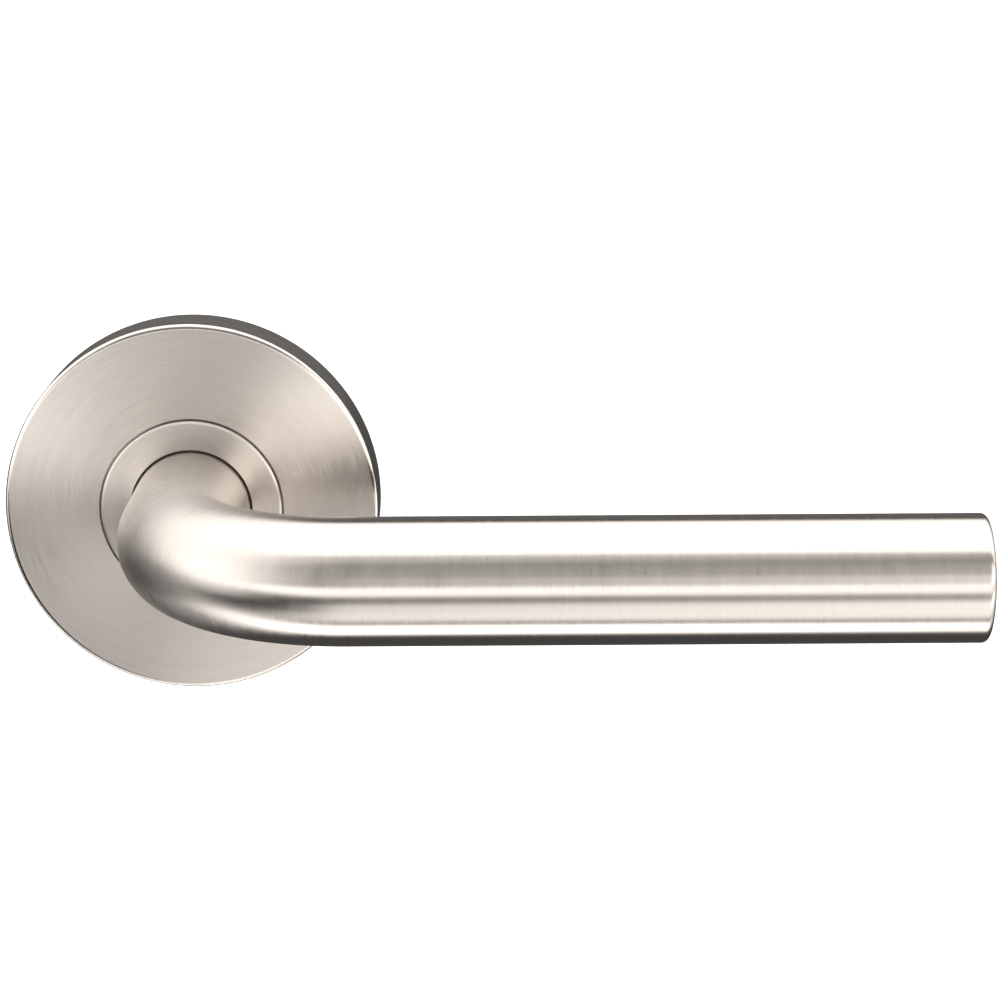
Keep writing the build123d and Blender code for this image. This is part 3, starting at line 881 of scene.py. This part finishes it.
class HANDLE_OT_inner_pieces(bpy.types.Operator):
    """Soften the edges of the pieces that stay as the frame has them, and give them their finishes"""

    bl_idname = "handle.inner_pieces"
    bl_label = "Inner pieces"

    def execute(self, context):
        colours = context.scene.handle_finish
        plated = turned_metal("plated_finish", colours.zinc_plate, 0.28, (160, 160, 160))
        plain = turned_metal("turned_finish", colours.plain_steel, 0.32)
        spring = turned_metal("spring_plate_finish", colours.spring_steel, 0.3, (300, 300, 300))
        same_vertex = 0.001 * MM
        # each node's finish and how far its edges are broken
        finishes = {
            "base_plate": (cast_metal(), 0.15 * MM),
            "spring_cover": (plated, 0.12 * MM),
            "driver": (plated, 0.1 * MM),
            "neck_insert": (plain, 0.12 * MM),
            "spring_anchor_pin": (plain, 0.1 * MM),
            "thrust_washer": (plain, 0.06 * MM),
            "circlip": (spring, 0.06 * MM),
            "wave_washer": (spring, 0.02 * MM),
            "bearing_bush": (nylon("white_nylon_finish", colours.white_nylon), 0.08 * MM),
            "collar_washer": (nylon("black_nylon_finish", colours.black_nylon), 0.02 * MM),
            "cover_o_ring": (nylon("rubber_finish", colours.rubber, 0.62), 0.0),
        }
        for name, (finish, edge) in finishes.items():
            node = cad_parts[name]
            node.data.materials.clear()
            node.data.materials.append(finish)
            weld = node.modifiers.new("weld", "WELD")
            weld.merge_threshold = same_vertex
            if edge:
                soften = node.modifiers.new("edges", "BEVEL")
                soften.width = edge
                soften.segments = 2
                soften.limit_method = "ANGLE"
                soften.angle_limit = radians(40)
                soften.use_clamp_overlap = True
        return {"FINISHED"}


# Each soft panel is a name, its lowest and highest angle round the X axis (0 in front, 90 overhead, 180
# behind, -90 below), its leftmost and rightmost angle, how soft its edges are, and its level.
STUDIO_PANELS = [
    ("overhead softbox", 62, 142, -90, 90, 3, 1.75),
    ("behind, above", 152, 190, -90, 90, 6, 0.13),
    ("behind, below", -190, -98, -90, 90, 6, 0.07),
    ("floor strip", -94, -70, -90, 90, 3, 1.35),
    ("floor strip middle", -94, -70, -50, 15, 5, 1.2),
    ("low box", -62, -26, -10, 90, 6, 1.55),
    ("low box, left end", -60, -44, -30, -10, 5, 0.7),
    ("low right box", -44, -8, 28, 90, 6, 1.3),
    ("low front fill", -26, -12, -8, 28, 5, 0.3),
    ("low left box", -40, -8, -90, -52, 6, 1.5),
    ("left softbox", -8, 62, -90, -50, 5, 2.0),
    ("left fill", -8, 62, -50, -30, 5, 1.0),
    ("front strip", -12, 4, -40, 28, 4, 1.7),
    ("front, above", 10, 62, -32, 28, 7, 0.2),
    ("right fill", 3, 20, 10, 28, 4, 1.4),
    ("right softbox", -2, 45, 28, 90, 5, 2.3),
    ("top left fill", 48, 62, -90, 8, 5, 0.45),
]


class HANDLE_OT_stage(bpy.types.Operator):
    """Set up the floor, the light and the camera"""

    bl_idname = "handle.stage"
    bl_label = "Stage"

    def execute(self, context):
        stage = context.scene.handle_stage
        self.floor(stage)
        self.light()
        self.camera(stage)
        context.scene.view_settings.view_transform = "Standard"
        return {"FINISHED"}

    def floor(self, stage):
        """A wide pale floor, which the metal doesn't mirror."""
        bm = bmesh.new()
        bmesh.ops.create_grid(bm, x_segments=1, y_segments=1, size=8.0,
                              matrix=Matrix.Translation((0, 0, -stage.floor_depth)))
        mesh = mesh_from("floor", bm)
        material, n = new_material("pale_floor")
        shader = n.add("ShaderNodeBsdfPrincipled", {
            "Base Color": (0.9, 0.9, 0.9, 1), "Roughness": 0.9,
            "Emission Color": (1, 1, 1, 1), "Emission Strength": 0.45})
        n.add("ShaderNodeOutputMaterial", {"Surface": shader.outputs[0]})
        mesh.materials.append(material)
        floor = bpy.data.objects.new("floor", mesh)
        bpy.context.scene.collection.objects.link(floor)
        floor.visible_glossy = False

    def light(self):
        """Soft panels that light the handle and that it mirrors. The camera sees plain white instead."""
        world = bpy.data.worlds.new("studio")
        bpy.context.scene.world = world
        world.use_nodes = True
        n = Nodes(world.node_tree)
        way = n.add("ShaderNodeSeparateXYZ", {0: n.add("ShaderNodeTexCoord").outputs["Generated"]})
        x, y, z = way.outputs
        rise = n.math("MULTIPLY", n.math("ARCTAN2", z, n.math("MULTIPLY", y, -1.0)), 180 / pi)
        side = n.math("MULTIPLY", n.math("ARCSINE", x), 180 / pi)
        total = 0.0
        for _, low, high, left, right, soft, level in STUDIO_PANELS:
            panel = self.soft_strip(n, rise, low, high, soft)
            if left > -90 or right < 90:
                panel = n.math("MULTIPLY", panel, self.soft_strip(n, side, left, right, soft + 2))
            total = n.math("MULTIPLY_ADD", panel, level, total)
        light = n.add("ShaderNodeBackground", {"Color": (1, 0.99, 0.975, 1), "Strength": total})
        white = n.add("ShaderNodeBackground", {"Color": (1, 1, 1, 1), "Strength": 1.0})
        seen = n.add("ShaderNodeLightPath").outputs["Is Camera Ray"]
        both = n.add("ShaderNodeMixShader", {0: seen, 1: light.outputs[0], 2: white.outputs[0]})
        n.add("ShaderNodeOutputWorld", {"Surface": both.outputs[0]})

    def soft_strip(self, n, value, low, high, soft):
        """One between low and high, and fading out over soft degrees each side."""
        past_low, past_high = (
            n.add("ShaderNodeMapRange", {"Value": value, "From Min": edge - soft, "From Max": edge + soft},
                  interpolation_type="SMOOTHSTEP").outputs[0]
            for edge in (low, high))
        return n.math("SUBTRACT", past_low, past_high)

    def camera(self, stage):
        """A camera a little above the handle that looks down on it."""
        data = bpy.data.cameras.new("camera")
        data.lens = stage.lens
        data.sensor_width = 36
        camera = bpy.data.objects.new("camera", data)
        camera.matrix_world = (
            Matrix.Translation(stage.camera_place)
            @ Matrix.Rotation(pi / 2 - stage.camera_tilt, 4, "X")
            @ Matrix.Rotation(stage.camera_roll, 4, "Z"))
        bpy.context.scene.collection.objects.link(camera)
        bpy.context.scene.camera = camera


class HANDLE_PT_panel(bpy.types.Panel):
    """Lists the operators that model the handle"""

    bl_label = "Door lever handle"
    bl_space_type = "VIEW_3D"
    bl_region_type = "UI"
    bl_category = "Handle"

    def draw(self, context):
        for operator in OPERATORS:
            self.layout.operator(operator.bl_idname)


PROPERTY_GROUPS = {
    "handle_sizes": HandleSizes,
    "handle_finish": HandleFinish,
    "handle_stage": HandleStage,
}
OPERATORS = [
    HANDLE_OT_rose_cover,
    HANDLE_OT_collar_ring,
    HANDLE_OT_lever,
    HANDLE_OT_grub_screw,
    HANDLE_OT_fixing_posts,
    HANDLE_OT_cover_screws,
    HANDLE_OT_return_spring,
    HANDLE_OT_spindle,
    HANDLE_OT_inner_pieces,
    HANDLE_OT_stage,
]


def register():
    """Registers the classes, and adds the property groups to the scene."""
    for name, group in PROPERTY_GROUPS.items():
        bpy.utils.register_class(group)
        setattr(bpy.types.Scene, name, bpy.props.PointerProperty(type=group))
    for cls in OPERATORS + [HANDLE_PT_panel]:
        bpy.utils.register_class(cls)


def unregister():
    """Takes back all that register did."""
    for cls in reversed(OPERATORS + [HANDLE_PT_panel]):
        bpy.utils.unregister_class(cls)
    for name, group in PROPERTY_GROUPS.items():
        delattr(bpy.types.Scene, name)
        bpy.utils.unregister_class(group)


def main():
    """Models every piece."""
    register()
    bpy.ops.handle.rose_cover()
    bpy.ops.handle.collar_ring()
    bpy.ops.handle.lever()
    bpy.ops.handle.grub_screw()
    bpy.ops.handle.fixing_posts()
    bpy.ops.handle.cover_screws()
    bpy.ops.handle.return_spring()
    bpy.ops.handle.spindle()
    bpy.ops.handle.inner_pieces()
    bpy.ops.handle.stage()


if __name__ == "__main__":
    main()
